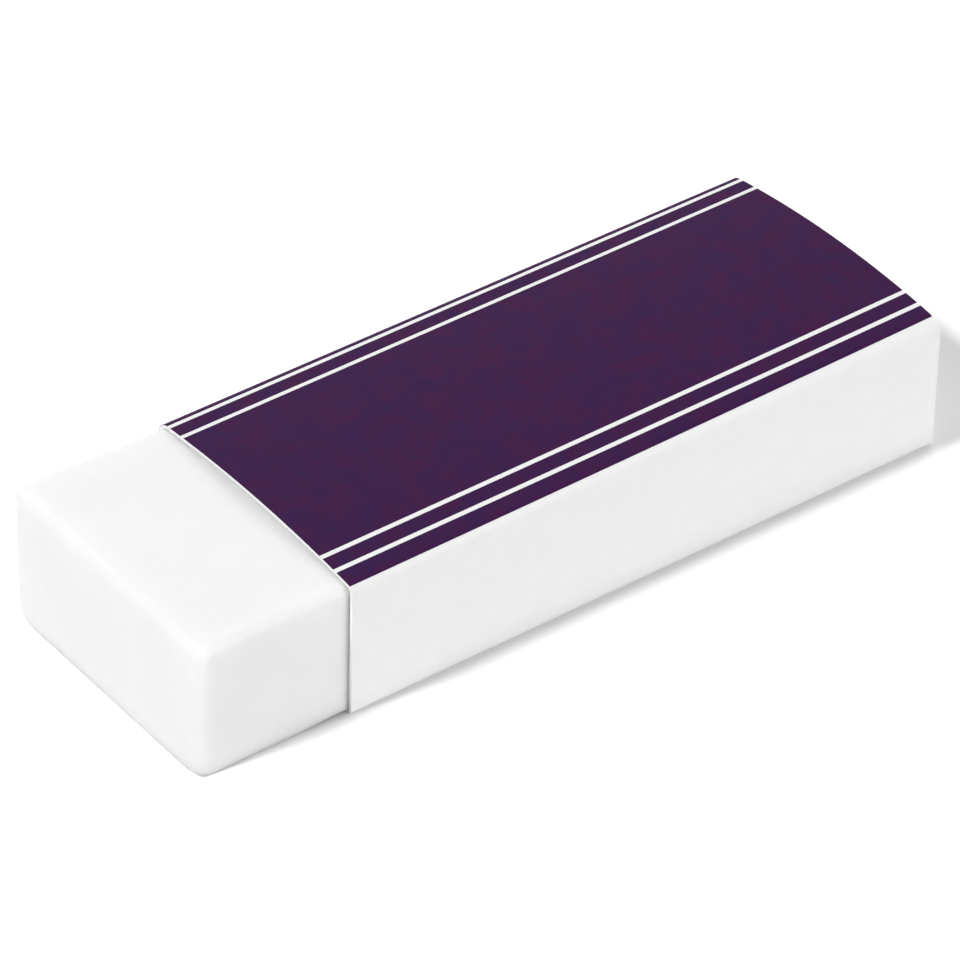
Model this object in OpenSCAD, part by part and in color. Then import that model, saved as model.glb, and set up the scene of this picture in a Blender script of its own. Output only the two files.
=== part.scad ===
// Block eraser of white vinyl in a folded card sleeve with printed bands.
// +X runs along the block towards its sleeved end, +Y towards the sleeve's glued side
// and +Z up. The origin is at the middle of the underside.

/* [Eraser block] */
// Length of the block
block_l = 63.4; // [50:0.2:80]
// Width of the block
block_w = 21.7; // [16:0.1:32]
// Height of the block
block_h = 10.9; // [8:0.1:16]
// Radius of the two upper long edges
block_top_r = 0.7; // [0.4:0.1:2]
// Radius of the two lower long edges
block_base_r = 0.25; // [0.15:0.05:0.8]
// Radius of the four edges round each end face
block_rim_r = 0.5; // [0.2:0.1:1.5]

/* [Card sleeve] */
// Length of the sleeve
sleeve_l = 52.2; // [30:0.2:70]
// Length of the block that stands out of the sleeve
bare_l = 12.4; // [2:0.2:20]
// Thickness of the card
card_t = 0.25; // [0.15:0.05:0.5]
// Clearance between the block and the card on each side
side_gap = 0.25; // [0.05:0.05:0.4]
// Clearance between the block's upper edges and the card
top_gap = 0.05; // [0.05:0.05:0.4]
// Rise of the upper panel in the middle, above its two folds
crown_h = 0.65; // [0.1:0.05:1.2]
// Height of the glue flap, which stands inside the outer seam panel
flap_h = 7; // [3:0.5:7]
// Height of the seam panel's cut edge above the underside
seam_lift = 0.6; // [0.3:0.1:1.5]

/* [Print] */
// Thickness of the printed ink
ink_t = 0.03; // [0.02:0.01:0.06]
// Width of each unprinted stripe
stripe_w = 0.4; // [0.2:0.05:0.8]
// Distance between the middles of the two stripes of a pair
stripe_pitch = 1.6; // [1:0.02:2.4]
// Distance from the sleeve's side to the middle of the outer stripe
stripe_inset = 1.68; // [1.2:0.02:3]
// Distance by which the print sits off centre, towards the seam
print_shift = 0.3; // [0:0.02:0.5]
// Distance from the sleeve's open side to the edge of the print
print_edge = 0.5; // [0.2:0.05:0.7]
// Depth to which the print reaches down the fold above the seam
seam_print_drop = 1.2; // [0.5:0.05:1.2]

/* [Hidden] */
$fn = 128;

// Folds of the sleeve: inside, the card bends to the same radii as the block's own edges
fold_r = block_top_r + card_t;
base_fold_r = block_base_r + card_t;

// Section of the sleeve: one card on the open side and two, glued, on the seam side
sleeve_w = block_w + 2 * side_gap + 3 * card_t;
side_y = sleeve_w / 2;
fold_top_z = 2 * card_t + block_h + top_gap;
fold_y = side_y - fold_r;
fold_z = fold_top_z - fold_r;

// The upper panel's arc touches the arcs of both folds from inside:
// (crown_r - fold_r)^2 = fold_y^2 + (crown_r - fold_r - crown_h)^2
crown_r = fold_r + (fold_y * fold_y + crown_h * crown_h) / (2 * crown_h);
crown_z = fold_top_z + crown_h - crown_r;

// The block lies on the lower panel, off centre by half of the extra card. Block and
// sleeve together are centred along X, whichever of them ends the eraser.
overall_l = max(block_l, bare_l + sleeve_l);
block_x = -overall_l / 2;
sleeve_x = block_x + bare_l;
block_y = -card_t / 2;
flap_top_z = card_t + flap_h;

// Middles of the stripes on one side of the print's centre line
outer_stripe_y = side_y - stripe_inset;
inner_stripe_y = outer_stripe_y - stripe_pitch;

// Upright outline, open in x from -w/2 to w/2, standing on y = 0
module round_rect(w, h, low_r, top_r) {
    translate([-w / 2, low_r]) square([w, h - low_r - top_r]);
    translate([-w / 2 + low_r, 0]) square([w - 2 * low_r, low_r]);
    translate([-w / 2 + top_r, h - top_r]) square([w - 2 * top_r, top_r]);
    for (side = [-1, 1]) {
        translate([side * (w / 2 - low_r), low_r]) circle(low_r);
        translate([side * (w / 2 - top_r), h - top_r]) circle(top_r);
    }
}

// Carries a section drawn across the eraser along X, from start over length
module along_x(start, length) {
    translate([start, 0, 0]) rotate([90, 0, 90]) linear_extrude(length) children();
}

// Lower part of the sleeve's section, inset inside its outer face:
// underside, open side and glue flap
module tray_section(inset) {
    low_r = base_fold_r - inset;
    left = inset - side_y;
    right = side_y - card_t - inset;
    translate([left, base_fold_r]) square([right - left, fold_z - base_fold_r]);
    translate([left + low_r, inset]) square([right - left - 2 * low_r, low_r]);
    for (y = [left + low_r, right - low_r]) translate([y, base_fold_r]) circle(low_r);
}

// Upper part of the sleeve's section above a height, inset inside its outer face:
// open side, crowned upper panel and seam panel
module lid_section(inset, from_z) {
    translate([inset - side_y, from_z]) square([2 * (side_y - inset), fold_z - from_z]);
    for (side = [-1, 1]) translate([side * fold_y, fold_z]) circle(fold_r - inset);
    intersection() {
        translate([0, crown_z]) circle(crown_r - inset, $fn = 720);
        crown_wedge();
    }
}

// Everything between the two lines that run from the crown's centre through the folds'
// centres, above the folds' centres
module crown_wedge() {
    reach = 2 * fold_r / (fold_z - crown_z);
    spread = fold_y * (1 + reach);
    polygon([[-fold_y, fold_z], [fold_y, fold_z],
             [spread, fold_z + 2 * fold_r], [-spread, fold_z + 2 * fold_r]]);
}

// Windows of the print: five fields, parted by two pairs of stripes. The first begins
// short of the open side and the last runs over the seam side and down it.
module print_fields() {
    stripes = [-outer_stripe_y, -inner_stripe_y, inner_stripe_y, outer_stripe_y];
    starts = concat(print_edge - side_y, [for (y = stripes) print_shift + y + stripe_w / 2]);
    ends = concat([for (y = stripes) print_shift + y - stripe_w / 2], side_y + card_t);
    for (i = [0:4]) {
        floor_z = i < 4 ? fold_z : fold_top_z - seam_print_drop;
        translate([starts[i], floor_z])
            square([ends[i] - starts[i], fold_top_z + crown_h + card_t - floor_z]);
    }
}

module eraser_block() {
    color("whitesmoke")
        translate([block_x + block_l / 2, block_y, card_t])
            intersection() {
                along_x(-block_l / 2, block_l)
                    round_rect(block_w, block_h, block_base_r, block_top_r);
                translate([0, block_w / 2, 0]) rotate([90, 0, 0])
                    linear_extrude(block_w) round_rect(block_l, block_h, block_rim_r, block_rim_r);
                translate([0, -block_w / 2, 0])
                    linear_extrude(block_h) round_rect(block_l, block_w, block_rim_r, block_rim_r);
            }
}

module card_sleeve() {
    color("white")
        along_x(sleeve_x, sleeve_l)
            difference() {
                union() {
                    tray_section(0);
                    lid_section(0, seam_lift);
                }
                tray_section(card_t);
                lid_section(card_t, flap_top_z);
            }
}

module purple_print() {
    color("#44284c")
        along_x(sleeve_x, sleeve_l)
            intersection() {
                difference() {
                    lid_section(-ink_t, seam_lift);
                    lid_section(0, seam_lift - ink_t);
                }
                print_fields();
            }
}

eraser_block();
card_sleeve();
purple_print();
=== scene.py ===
"""Dresses the block eraser: soft white vinyl, a folded card sleeve and the purple print on it.

The eraser lies along X with its bare end at -X, and the sleeve's glued side, its seam side, is at +Y.
The other side is the open one. Sizes are written in millimetres and mm() makes them metres. The places
of the block and the sleeve come from their CAD parts in model.glb.
"""
import math
from collections import namedtuple

import bmesh
import bpy
from mathutils import Matrix, Vector, noise


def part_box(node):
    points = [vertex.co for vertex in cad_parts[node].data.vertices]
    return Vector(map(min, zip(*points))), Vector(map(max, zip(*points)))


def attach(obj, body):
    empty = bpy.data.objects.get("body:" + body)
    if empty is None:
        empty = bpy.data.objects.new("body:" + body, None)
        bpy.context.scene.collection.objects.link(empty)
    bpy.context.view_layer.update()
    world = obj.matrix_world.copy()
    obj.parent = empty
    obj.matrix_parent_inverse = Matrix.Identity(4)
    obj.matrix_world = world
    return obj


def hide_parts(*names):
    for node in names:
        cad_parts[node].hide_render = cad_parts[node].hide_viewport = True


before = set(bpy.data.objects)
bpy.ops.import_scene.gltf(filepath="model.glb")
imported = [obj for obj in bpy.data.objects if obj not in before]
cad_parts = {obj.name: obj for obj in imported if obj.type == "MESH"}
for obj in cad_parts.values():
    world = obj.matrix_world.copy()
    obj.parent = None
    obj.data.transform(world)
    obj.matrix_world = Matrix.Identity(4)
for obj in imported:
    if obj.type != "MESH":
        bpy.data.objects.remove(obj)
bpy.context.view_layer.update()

# Section of the sleeve: height at its upper fold on the open side and that fold's outer radius, the same
# on the seam side, and the rise of the panel between them
Section = namedtuple("Section", "open_top open_fold seam_top seam_fold crown")

# ------------------------------------------------------------------ sizes in millimetres

# Card sleeve
CARD = 0.25             # thickness of the card
BASE_FOLD = 0.45        # outer radius of the two lower folds
MOUTH = Section(11.22, 0.55, 11.43, 1.0, 0.57)      # at the mouth that the block stands out of
END = Section(11.55, 0.95, 11.44, 1.0, 0.72)        # at the other, where the card has sprung open
HOLLOW = 0.06           # depth to which the open fold hollows between the mouths
SEAM_IN = 0.2           # the seam side stands this far inside the side of the CAD sleeve part
FLAP = 7.0              # height of the glue flap inside the seam panel
SEAM_LIFT = 0.6         # height of the seam panel's cut edge above the underside
GLUE = 0.01             # film of glue between the flap and the seam panel
TRIM_SIDE = 0.05        # the far cut runs askew: this much short of the end below and on the open side,
TRIM_OPEN = 0.45        # this much where the upper panel leaves the open fold
TRIM_SEAM = 1.0         # and this much over the seam, from where it runs straight down the seam panel
TRIM_REACH = 10.0       # length over which the faces are drawn back to that cut
FOLD_STEPS = 8          # faces round a fold
PANEL_STEP = 1.0        # spacing of the faces along and across the panels
CUT_ANGLE = math.radians(40)        # faces that meet at more than this meet at a cut edge, not at a fold

# Print
INK = 0.03              # thickness of the ink
STRIPE = 0.4            # width of an unprinted stripe
STRIPE_PITCH = 1.59     # distance between the middles of a pair of stripes
STRIPE_INSET = 1.7      # from the sleeve's side to the middle of the outer stripe
PRINT_SHIFT = 0.33      # distance by which the print sits off centre
MOUTH_EDGE = 0.34       # from the open side to the edge of the print, at the mouth
END_EDGE = 0.6          # and at the other end
SEAM_DROP = 1.2         # how far the print reaches down the fold above the seam

# Vinyl block
OPEN_TOP_R = 0.8        # radius of its upper long edge on the open side
SEAM_TOP_R = 0.35       # and on the seam side
END_TOP_R = 0.6         # of the upper edge of each end
BASE_R = 0.1            # of its lower edges
OPEN_UPRIGHT_R = 0.8    # of the upright edges on the open side
SEAM_UPRIGHT_R = 0.15   # and on the seam side
WEAR = 0.3              # depth to which the two lower corners of the bare end are worn
WEAR_REACH = 2.0        # and the distance over which they are
BASE_SAG = 0.23         # the bare end hangs to the table: its underside comes down this much
TOP_SAG = 0.06          # and its top this much
SAG_REACH = 5.0         # over this length out of the mouth,
SEAM_RISE = 0.45        # while its upper corner on the seam side stands this much higher
OPEN_SWELL = 0.2        # inside the sleeve the block swells this much against the open side,
SEAM_SWELL = 0.05       # this much against the seam side,
PRESS = 0.15            # and the upper panel presses its open edge down by this much
SWELL_REACH = 1.5       # length over which it swells, half before the mouth and half behind it
SOFT = 0.32             # depth to which the upper edge of the bare end is softened
SOFT_REACH = 3.0        # and the distance from that edge over which it is
SOFT_FADE = 0.25        # share of the width, at the seam side, over which that fades out
WAVE = 0.02             # depth of the slow waves that cutting leaves in soft vinyl
WAVE_LENGTH = 9.0       # and their length
EDGE_STEPS = 8          # faces round an edge
BLOCK_STEP = 1.0        # spacing of the block's faces
CORNER_STEPS = (0.25, 0.5, 0.75, 1.25, 1.5)     # more of them lie this far from the bare end and each edge

# Meshes
SAME_POINT = 0.0005     # points nearer than this are one
ON_PLANE = 0.0001       # and points nearer to a cut than this lie on it


def mm(value):
    """Millimetres as metres: a number, or a point."""
    if isinstance(value, (int, float)):
        return value / 1000
    return Vector(value) / 1000


def smooth_step(value):
    """0 below 0, 1 above 1 and a smooth rise between."""
    value = min(max(value, 0.0), 1.0)
    return value * value * (3 - 2 * value)


# ------------------------------------------------------------------ materials

def colour(code):
    """An sRGB hex colour as linear RGBA."""
    parts = [int(code[i:i + 2], 16) / 255 for i in (1, 3, 5)]
    return [c / 12.92 if c <= 0.04045 else ((c + 0.055) / 1.055) ** 2.4 for c in parts] + [1.0]


def per_mm(size):
    """Scale of a pattern on Object coordinates whose features measure size millimetres."""
    return 1000 / size


def add(tree, kind, settings=None, **sockets):
    """Adds a node. Settings are its properties; a socket's name has _ for a space, or is in0, in1 and so on
    where inputs share a name, and it takes a value or another node's output."""
    made = tree.nodes.new("ShaderNode" + kind)
    for name, value in (settings or {}).items():
        setattr(made, name, value)
    for name, value in sockets.items():
        socket = made.inputs[int(name[2:])] if name[2:].isdigit() else made.inputs[name.replace("_", " ")]
        if isinstance(value, bpy.types.NodeSocket):
            tree.links.new(value, socket)
        else:
            socket.default_value = value
    return made


def new_material(name):
    """An empty node material, its tree and its Object coordinates."""
    material = bpy.data.materials.new(name)
    material.use_nodes = True
    tree = material.node_tree
    tree.nodes.clear()
    return material, tree, add(tree, "TexCoord").outputs["Object"]


def moulded_vinyl():
    """Soft white vinyl, moulded and cut: light spreads for a millimetre inside it, so its edges glow and
    its shadows are weak. The skin is matt, with faint handling marks some 5 mm wide and a fine grain,
    drawn at 0.12 mm, coarser than it is, so that it shows."""
    material, tree, place = new_material("moulded_white_vinyl")
    cloud = add(tree, "TexNoise", None, Vector=place, Scale=per_mm(5.0), Detail=3.0).outputs["Fac"]
    grain = add(tree, "TexNoise", None, Vector=place, Scale=per_mm(0.12), Detail=2.0).outputs["Fac"]
    blend = add(tree, "MapRange", None, Value=cloud, From_Min=0.35, From_Max=0.65).outputs["Result"]
    shade = add(tree, "Mix", {"data_type": "RGBA"}, in0=blend, in6=colour("#f2f2f2"), in7=colour("#f5f5f5"))
    sheen = add(tree, "MapRange", None, Value=cloud, From_Min=0.3, From_Max=0.7, To_Min=0.5, To_Max=0.62)
    skin = add(tree, "Bump", None, Strength=0.25, Distance=mm(0.01), Height=grain)
    body = add(tree, "BsdfPrincipled", None, Base_Color=shade.outputs[2], Roughness=sheen.outputs["Result"],
               IOR=1.53, Normal=skin.outputs["Normal"], Subsurface_Weight=1.0,
               Subsurface_Radius=(1.0, 1.0, 0.95), Subsurface_Scale=mm(1.0))
    add(tree, "OutputMaterial", None, Surface=body.outputs["BSDF"])
    return material


def uncoated_card():
    """Bleached white card, uncoated: matt, cloudy where the pulp lies 1 to 2 mm thicker or thinner across,
    and with short fibres that just catch the light."""
    material, tree, place = new_material("uncoated_white_card")
    cloud = add(tree, "TexNoise", None, Vector=place, Scale=per_mm(1.6), Detail=3.0).outputs["Fac"]
    blend = add(tree, "MapRange", None, Value=cloud, From_Min=0.35, From_Max=0.65).outputs["Result"]
    shade = add(tree, "Mix", {"data_type": "RGBA"}, in0=blend, in6=colour("#f6f6f6"), in7=colour("#f8f8f8"))
    skin = add(tree, "Bump", None, Strength=0.35, Distance=mm(0.012), Height=fibre_mat(tree, place))
    body = add(tree, "BsdfPrincipled", None, Base_Color=shade.outputs[2], Roughness=0.7, IOR=1.5,
               Normal=skin.outputs["Normal"])
    add(tree, "OutputMaterial", None, Surface=body.outputs["BSDF"])
    return material


def fibre_mat(tree, place):
    """Height of the card's surface: felted fibres over a slower 0.5 mm unevenness. The fibres are drawn
    0.1 mm wide, some four times their real width, so that they show."""
    fine = add(tree, "TexNoise", None, Vector=place, Scale=per_mm(0.1), Detail=2.0, Roughness=0.6)
    slow = add(tree, "TexNoise", None, Vector=place, Scale=per_mm(0.5), Detail=1.0)
    return add(tree, "Math", {"operation": "MULTIPLY_ADD"}, in0=fine.outputs["Fac"], in1=0.5,
               in2=slow.outputs["Fac"]).outputs["Value"]


def printed_ink():
    """Dark purple offset ink on card: nearly matt, and laid a little unevenly, so that it drifts between
    a bluer and a redder purple over a millimetre or two, with the fibres showing through."""
    material, tree, place = new_material("offset_purple_ink")
    patch = add(tree, "TexNoise", None, Vector=place, Scale=per_mm(1.8), Detail=3.0, Roughness=0.6)
    speck = add(tree, "TexNoise", None, Vector=place, Scale=per_mm(0.25), Detail=2.0).outputs["Fac"]
    lay = add(tree, "Math", {"operation": "MULTIPLY_ADD"}, in0=speck, in1=0.3,
              in2=patch.outputs["Fac"]).outputs["Value"]
    blend = add(tree, "MapRange", None, Value=lay, From_Min=0.5, From_Max=0.8).outputs["Result"]
    shade = add(tree, "Mix", {"data_type": "RGBA"}, in0=blend, in6=colour("#351948"), in7=colour("#401742"))
    sheen = add(tree, "MapRange", None, Value=speck, From_Min=0.3, From_Max=0.7, To_Min=0.6, To_Max=0.72)
    skin = add(tree, "Bump", None, Strength=0.3, Distance=mm(0.012), Height=fibre_mat(tree, place))
    body = add(tree, "BsdfPrincipled", None, Base_Color=shade.outputs[2], Roughness=sheen.outputs["Result"],
               IOR=1.5, Specular_IOR_Level=0.06, Normal=skin.outputs["Normal"])
    add(tree, "OutputMaterial", None, Surface=body.outputs["BSDF"])
    return material


# ------------------------------------------------------------------ meshes

def finished(bm, name, material, node, body):
    """Makes the bmesh a piece, smooth but for its cut edges, that stands for a CAD node and rides on
    a body."""
    bmesh.ops.remove_doubles(bm, verts=bm.verts[:], dist=mm(SAME_POINT))
    bmesh.ops.recalc_face_normals(bm, faces=bm.faces[:])
    for face in bm.faces:
        face.smooth = True
    for edge in bm.edges:
        edge.smooth = edge.calc_face_angle(0.0) < CUT_ANGLE
    mesh = bpy.data.meshes.new(name)
    bm.to_mesh(mesh)
    bm.free()
    mesh.materials.append(material)
    piece = bpy.data.objects.new(name, mesh)
    bpy.context.scene.collection.objects.link(piece)
    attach(piece, body)
    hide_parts(node)
    return piece


def cut_along(bm, place, normal):
    """Cuts every face where the plane through a place, with that normal, passes."""
    bmesh.ops.bisect_plane(bm, geom=bm.verts[:] + bm.edges[:] + bm.faces[:], dist=mm(ON_PLANE),
                           plane_co=place, plane_no=normal)


def cut_at(bm, axis, places):
    """Cuts every face square to the axis, at each place along it."""
    along = Vector([1.0 if i == axis else 0.0 for i in range(3)])
    for place in places:
        cut_along(bm, along * place, along)


def steps_between(low, high, step):
    """Evenly spaced places strictly between two, about a step apart."""
    count = max(1, round((high - low) / step))
    return [low + (high - low) * i / count for i in range(1, count)]


# ------------------------------------------------------------------ eraser block

def eraser_block(material):
    """The vinyl block: a box whose edges are rounded, less on the seam side."""
    low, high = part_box("eraser_block")
    bm = bmesh.new()
    bmesh.ops.create_cube(bm, size=1.0)
    bmesh.ops.scale(bm, vec=high - low, verts=bm.verts[:])
    bmesh.ops.translate(bm, vec=(low + high) / 2, verts=bm.verts[:])
    middle = (low + high) / 2
    widest = max(OPEN_TOP_R, SEAM_TOP_R, END_TOP_R, BASE_R, OPEN_UPRIGHT_R, SEAM_UPRIGHT_R)
    weight = bm.edges.layers.float.new("bevel_weight_edge")
    for edge in bm.edges:
        first, second = (v.co for v in edge.verts)
        centre = (first + second) / 2
        along = max(range(3), key=lambda axis: abs(second[axis] - first[axis]))
        open_side = centre.y < middle.y
        if along == 2:
            radius = OPEN_UPRIGHT_R if open_side else SEAM_UPRIGHT_R
        elif centre.z < middle.z:
            radius = BASE_R
        elif along == 1:
            radius = END_TOP_R
        else:
            radius = OPEN_TOP_R if open_side else SEAM_TOP_R
        edge[weight] = radius / widest
    block = with_bevel(bm, mm(widest))
    for axis in range(3):
        cut_at(block, axis, steps_between(low[axis], high[axis], mm(BLOCK_STEP)))
        cut_at(block, axis, [low[axis] + mm(step) for step in CORNER_STEPS])
    cut_at(block, 1, [high.y - mm(step) for step in CORNER_STEPS])
    settle(block)
    return finished(block, "vinyl_block", material, "eraser_block", "block")


def settle(block):
    """Lets the block take the shape that cutting, wear, its own weight and the card have given it: its bare
    end waves, hangs and is worn and softened, and inside the sleeve it swells against the card."""
    low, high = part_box("eraser_block")
    middle = (low + high) / 2
    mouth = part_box("card_sleeve")[0].x
    lower_corners = [Vector((low.x, y, low.z)) for y in (low.y, high.y)]
    side_begins = (high.y - low.y) / 2 - mm(OPEN_TOP_R)
    for vert in block.verts:
        place = vert.co.copy()
        bare = smooth_step((mouth - place.x) / mm(SAG_REACH))
        out = max(0.0, (mouth - place.x) / (mouth - low.x))
        across = (place.y - low.y) / (high.y - low.y)
        up = (place.z - low.z) / (high.z - low.z)
        inward = (middle - place).normalized()
        wave = noise.noise_vector(place / mm(WAVE_LENGTH)) * mm(WAVE)
        vert.co += inward * max(0.0, wave.dot(inward)) * bare
        for corner in lower_corners:
            nearness = 1 - (place - corner).length / mm(WEAR_REACH)
            vert.co += inward * mm(WEAR) * max(0.0, nearness) ** 2
        near_end = max(0.0, 1 - (place.x - low.x) / mm(SOFT_REACH))
        near_top = max(0.0, 1 - (high.z - place.z) / mm(SOFT_REACH))
        soft = mm(SOFT) * (near_end * near_top) ** 2
        soft *= smooth_step((1 - across) / SOFT_FADE)
        vert.co += Vector((soft, 0, -soft))
        vert.co.z -= mm(BASE_SAG + (TOP_SAG - BASE_SAG) * up) * bare
        vert.co.z += mm(SEAM_RISE) * out * across * up
        vert.co.z -= mm(PRESS) * (1 - bare) * (1 - across) ** 2 * up
        swell = OPEN_SWELL if place.y < middle.y else SEAM_SWELL
        if abs(place.y - middle.y) > side_begins:
            outward = 1 if place.y > middle.y else -1
            vert.co.y += outward * mm(swell) * smooth_step((place.x - mouth) / mm(SWELL_REACH) + 0.5)


def with_bevel(bm, width):
    """A new bmesh in which the bevel weights of the edges have become round edges."""
    mesh = bpy.data.meshes.new("box_to_bevel")
    bm.to_mesh(mesh)
    bm.free()
    box = bpy.data.objects.new("box_to_bevel", mesh)
    bpy.context.scene.collection.objects.link(box)
    bevel = box.modifiers.new("round_edges", "BEVEL")
    bevel.limit_method = "WEIGHT"
    bevel.width = width
    bevel.segments = EDGE_STEPS
    bevel.profile = 0.5
    bpy.context.view_layer.update()
    rounded = bmesh.new()
    rounded.from_object(box, bpy.context.evaluated_depsgraph_get())
    bpy.data.objects.remove(box)
    bpy.data.meshes.remove(mesh)
    return rounded


# ------------------------------------------------------------------ card sleeve and print

def fold_line(bm, x, corners):
    """One mouth of the sleeve: a wire through (y, z, radius of the fold) corners, rounded at each fold."""
    verts = [bm.verts.new((x, y, z)) for y, z, radius in corners]
    for pair in zip(verts, verts[1:]):
        bm.edges.new(pair)
    for vert, (y, z, radius) in zip(verts, corners):
        if radius:
            bmesh.ops.bevel(bm, geom=[vert], offset=radius, offset_type="OFFSET", segments=FOLD_STEPS,
                            profile=0.5, affect="VERTICES", material=-1)


def folded_sheet():
    """The card's outer face, folded from the glue flap round to the seam panel: two wires drawn at the
    mouths and bridged. Its upper panel is still flat."""
    low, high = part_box("card_sleeve")
    side = high.y
    seam = side - mm(SEAM_IN)
    flap_y = seam - mm(CARD + GLUE)
    bm = bmesh.new()
    for x, section in ((low.x, MOUTH), (high.x, END)):
        fold_line(bm, x, [(flap_y, mm(CARD + FLAP), 0), (flap_y, 0, mm(BASE_FOLD)),
                          (-side, 0, mm(BASE_FOLD)), (-side, mm(section.open_top), mm(section.open_fold)),
                          (seam, mm(section.seam_top), mm(section.seam_fold)), (seam, mm(SEAM_LIFT), 0)])
    bmesh.ops.bridge_loops(bm, edges=bm.edges[:])
    cut_at(bm, 0, steps_between(low.x, high.x, mm(PANEL_STEP)))
    cut_at(bm, 1, steps_between(-side, side, mm(PANEL_STEP)))
    return bm


def spring(bm):
    """Lets the card spring: its upper panel crowns between the folds, the open fold hollows between the
    mouths, and the far cut runs askew, furthest back over the seam."""
    low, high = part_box("card_sleeve")
    for vert in bm.verts:
        x, y, z = vert.co
        along = (x - low.x) / (high.x - low.x)
        across = (y + high.y) / (2 * high.y)
        here = Section(*(first + (last - first) * along for first, last in zip(MOUTH, END)))
        top = here.open_top + (here.seam_top - here.open_top) * across
        fold = here.open_fold + (here.seam_fold - here.open_fold) * across
        lift = smooth_step((z - mm(top - fold)) / mm(fold))
        half = high.y - mm(here.open_fold + here.seam_fold) / 2
        if lift > 0:
            vert.co.z += mm(here.crown) * (1 - (y / half) ** 2)
        vert.co.z -= mm(HOLLOW) * 4 * along * (1 - along) * (1 - across) * lift
        upper_trim = TRIM_OPEN + (TRIM_SEAM - TRIM_OPEN) * across
        trim = TRIM_SIDE + (upper_trim - TRIM_SIDE) * max(lift, across * z / mm(top))
        vert.co.x -= mm(trim) * smooth_step((x - high.x) / mm(TRIM_REACH) + 1)


def card_sleeve(material):
    """The sleeve: one sheet of card, with its cut edges at both mouths and at the seam."""
    bm = folded_sheet()
    spring(bm)
    bmesh.ops.solidify(bm, geom=bm.faces[:], thickness=mm(CARD))
    return finished(bm, "folded_card", material, "card_sleeve", "sleeve")


def purple_print(material):
    """The ink: the sheet again, cut along the stripes, with only the five printed fields kept."""
    bm = folded_sheet()
    low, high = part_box("card_sleeve")
    outer = high.y - mm(STRIPE_INSET)
    inner = outer - mm(STRIPE_PITCH)
    middles = [mm(PRINT_SHIFT) + y for y in (-outer, -inner, inner, outer)]
    cut_at(bm, 1, [y + side * mm(STRIPE) / 2 for y in middles for side in (-1, 1)])
    fall = Vector((-mm(END.seam_top - MOUTH.seam_top) / (high.x - low.x), 0, 1))
    turn = Vector((-mm(END_EDGE - MOUTH_EDGE) / (high.x - low.x), 1, 0))
    open_edge = Vector((low.x, mm(MOUTH_EDGE) - high.y, 0))
    seam_edge = Vector((low.x, 0, mm(MOUTH.seam_top - SEAM_DROP)))
    cut_along(bm, open_edge, turn)
    cut_along(bm, seam_edge, fall)
    bare = []
    for face in bm.faces:
        middle = face.calc_center_median()
        on_stripe = any(abs(middle.y - stripe) < mm(STRIPE) / 2 for stripe in middles)
        if on_stripe or (middle - open_edge).dot(turn) < 0 or (middle - seam_edge).dot(fall) < 0:
            bare.append(face)
    bmesh.ops.delete(bm, geom=bare, context="FACES")
    spring(bm)
    bmesh.ops.solidify(bm, geom=bm.faces[:], thickness=-mm(INK))
    return finished(bm, "purple_bands", material, "purple_print", "sleeve")


eraser_block(moulded_vinyl())
card_sleeve(uncoated_card())
purple_print(printed_ink())

# ------------------------------------------------------------------ table, light and camera

WHITE = (1, 1, 1, 1)
FLOOR_REACH = 1.5       # metres from the origin to the floor's sides
FLOOR_LIGHTER = 1.25    # how much lighter the floor is seen than it is, so that bare floor is white
SKY = 0.18              # strength of the white room as a light
LAMPS = (               # name, place and width in metres, and watts
    ("key", (-0.774, 0.072, 0.91), 0.12, 9.1),
    ("front_fill", (0.3, -0.9, 0.1), 0.5, 5.1),
    ("back_fill", (0.5, 0.55, 0.6), 1.0, 4.2))
CAMERA_AZ = math.radians(-38.09)        # 0 looks along +Y
CAMERA_EL = math.radians(37.80)
CAMERA_ROLL = math.radians(1.46)
CAMERA_DISTANCE = 465.9                 # in millimetres, as the aim and the lens are
CAMERA_AIM = (-0.086, 3.334)            # the lens's axis passes the origin at this distance right and up
FOCAL_LENGTH = 245.76
SENSOR = 36.0


def floor():
    """A white table, seen a little lighter than it is, so that it is white but keeps the eraser's
    shadow."""
    bm = bmesh.new()
    bmesh.ops.create_grid(bm, x_segments=1, y_segments=1, size=FLOOR_REACH)
    mesh = bpy.data.meshes.new("floor")
    bm.to_mesh(mesh)
    bm.free()
    material, tree, _ = new_material("white_table")
    white = colour("#f8f8f8")
    lighter = [FLOOR_LIGHTER * part for part in white]
    shade = add(tree, "Mix", {"data_type": "RGBA"}, in0=directly_seen(tree), in6=white, in7=lighter)
    top = add(tree, "BsdfDiffuse", None, Color=shade.outputs[2])
    add(tree, "OutputMaterial", None, Surface=top.outputs["BSDF"])
    mesh.materials.append(material)
    plane = bpy.data.objects.new("floor", mesh)
    bpy.context.scene.collection.objects.link(plane)


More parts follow.
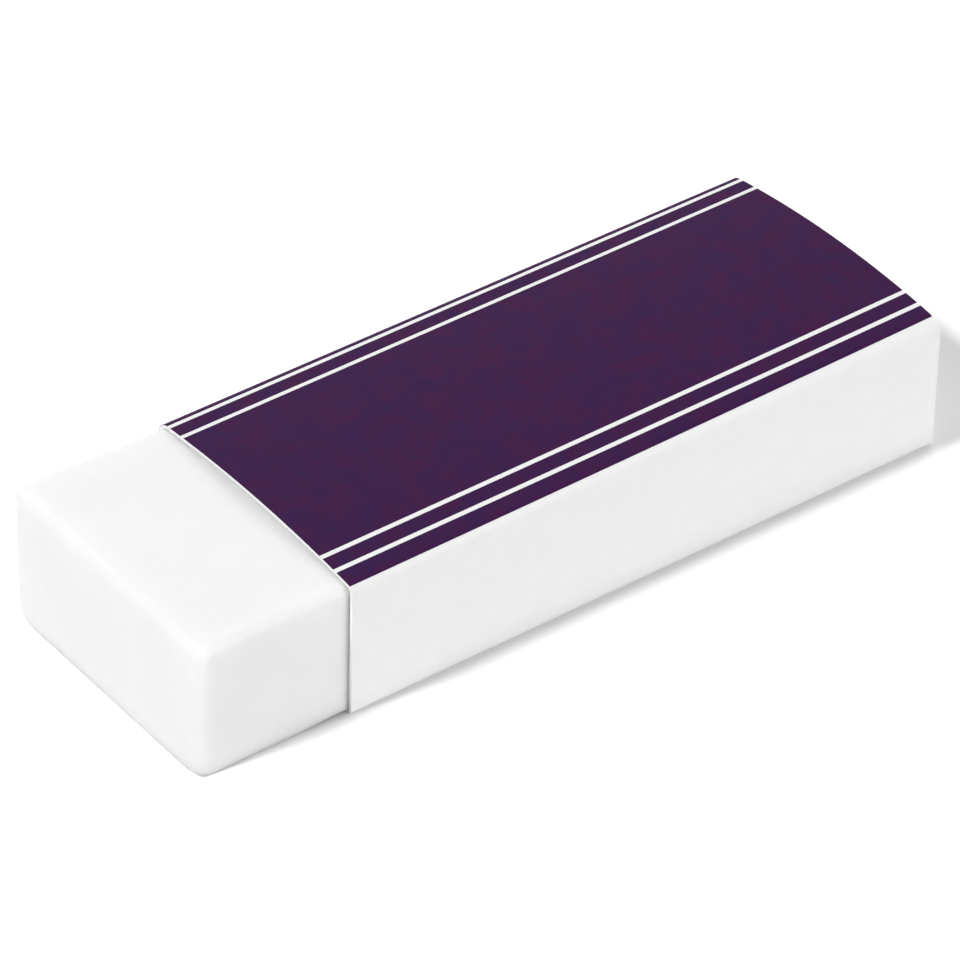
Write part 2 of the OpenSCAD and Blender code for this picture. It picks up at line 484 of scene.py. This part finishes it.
def directly_seen(tree):
    """1 for a ray from the camera or one mirrored or let through, and 0 for light that bounces about."""
    path = add(tree, "LightPath")
    mirrored = add(tree, "Math", {"operation": "MAXIMUM"}, in0=path.outputs["Is Camera Ray"],
                   in1=path.outputs["Is Glossy Ray"])
    return add(tree, "Math", {"operation": "MAXIMUM"}, in0=mirrored.outputs["Value"],
               in1=path.outputs["Is Transmission Ray"]).outputs["Value"]


def sky(strength):
    """White all round: at full white where it is seen, and weaker as a light."""
    world = bpy.data.worlds.new("white_room")
    world.use_nodes = True
    bpy.context.scene.world = world
    tree = world.node_tree
    tree.nodes.clear()
    weak = add(tree, "Background", None, Color=WHITE, Strength=strength)
    full = add(tree, "Background", None, Color=WHITE, Strength=1.0)
    mix = add(tree, "MixShader", None, Fac=directly_seen(tree), in1=weak.outputs["Background"],
              in2=full.outputs["Background"])
    add(tree, "OutputWorld", None, Surface=mix.outputs["Shader"])


def softbox(name, place, size, watts):
    """A square area lamp that faces the eraser, placed in metres."""
    lamp = bpy.data.lights.new(name, "AREA")
    lamp.size = size
    lamp.energy = watts
    light = bpy.data.objects.new(name, lamp)
    light.location = place
    light.rotation_euler = (-Vector(place)).to_track_quat("-Z", "Y").to_euler()
    bpy.context.scene.collection.objects.link(light)


def camera():
    """A long lens, looking down at the bare end and the open side."""
    back = Vector((math.sin(CAMERA_AZ) * math.cos(CAMERA_EL), -math.cos(CAMERA_AZ) * math.cos(CAMERA_EL),
                   math.sin(CAMERA_EL)))
    level = Vector((math.cos(CAMERA_AZ), math.sin(CAMERA_AZ), 0.0))
    turn = Matrix.Rotation(CAMERA_ROLL, 3, back)
    right = turn @ level
    up = turn @ back.cross(level)
    lens = bpy.data.cameras.new("camera")
    lens.lens = FOCAL_LENGTH
    lens.sensor_width = SENSOR
    seen_from = bpy.data.objects.new("camera", lens)
    place = right * mm(CAMERA_AIM[0]) + up * mm(CAMERA_AIM[1]) + back * mm(CAMERA_DISTANCE)
    axes = Matrix((right, up, back)).transposed().to_4x4()
    seen_from.matrix_world = Matrix.Translation(place) @ axes
    bpy.context.scene.collection.objects.link(seen_from)
    bpy.context.scene.camera = seen_from


floor()
sky(SKY)
for lamp_name, lamp_place, width, power in LAMPS:
    softbox(lamp_name, lamp_place, width, power)
camera()
bpy.context.scene.view_settings.view_transform = "Standard"
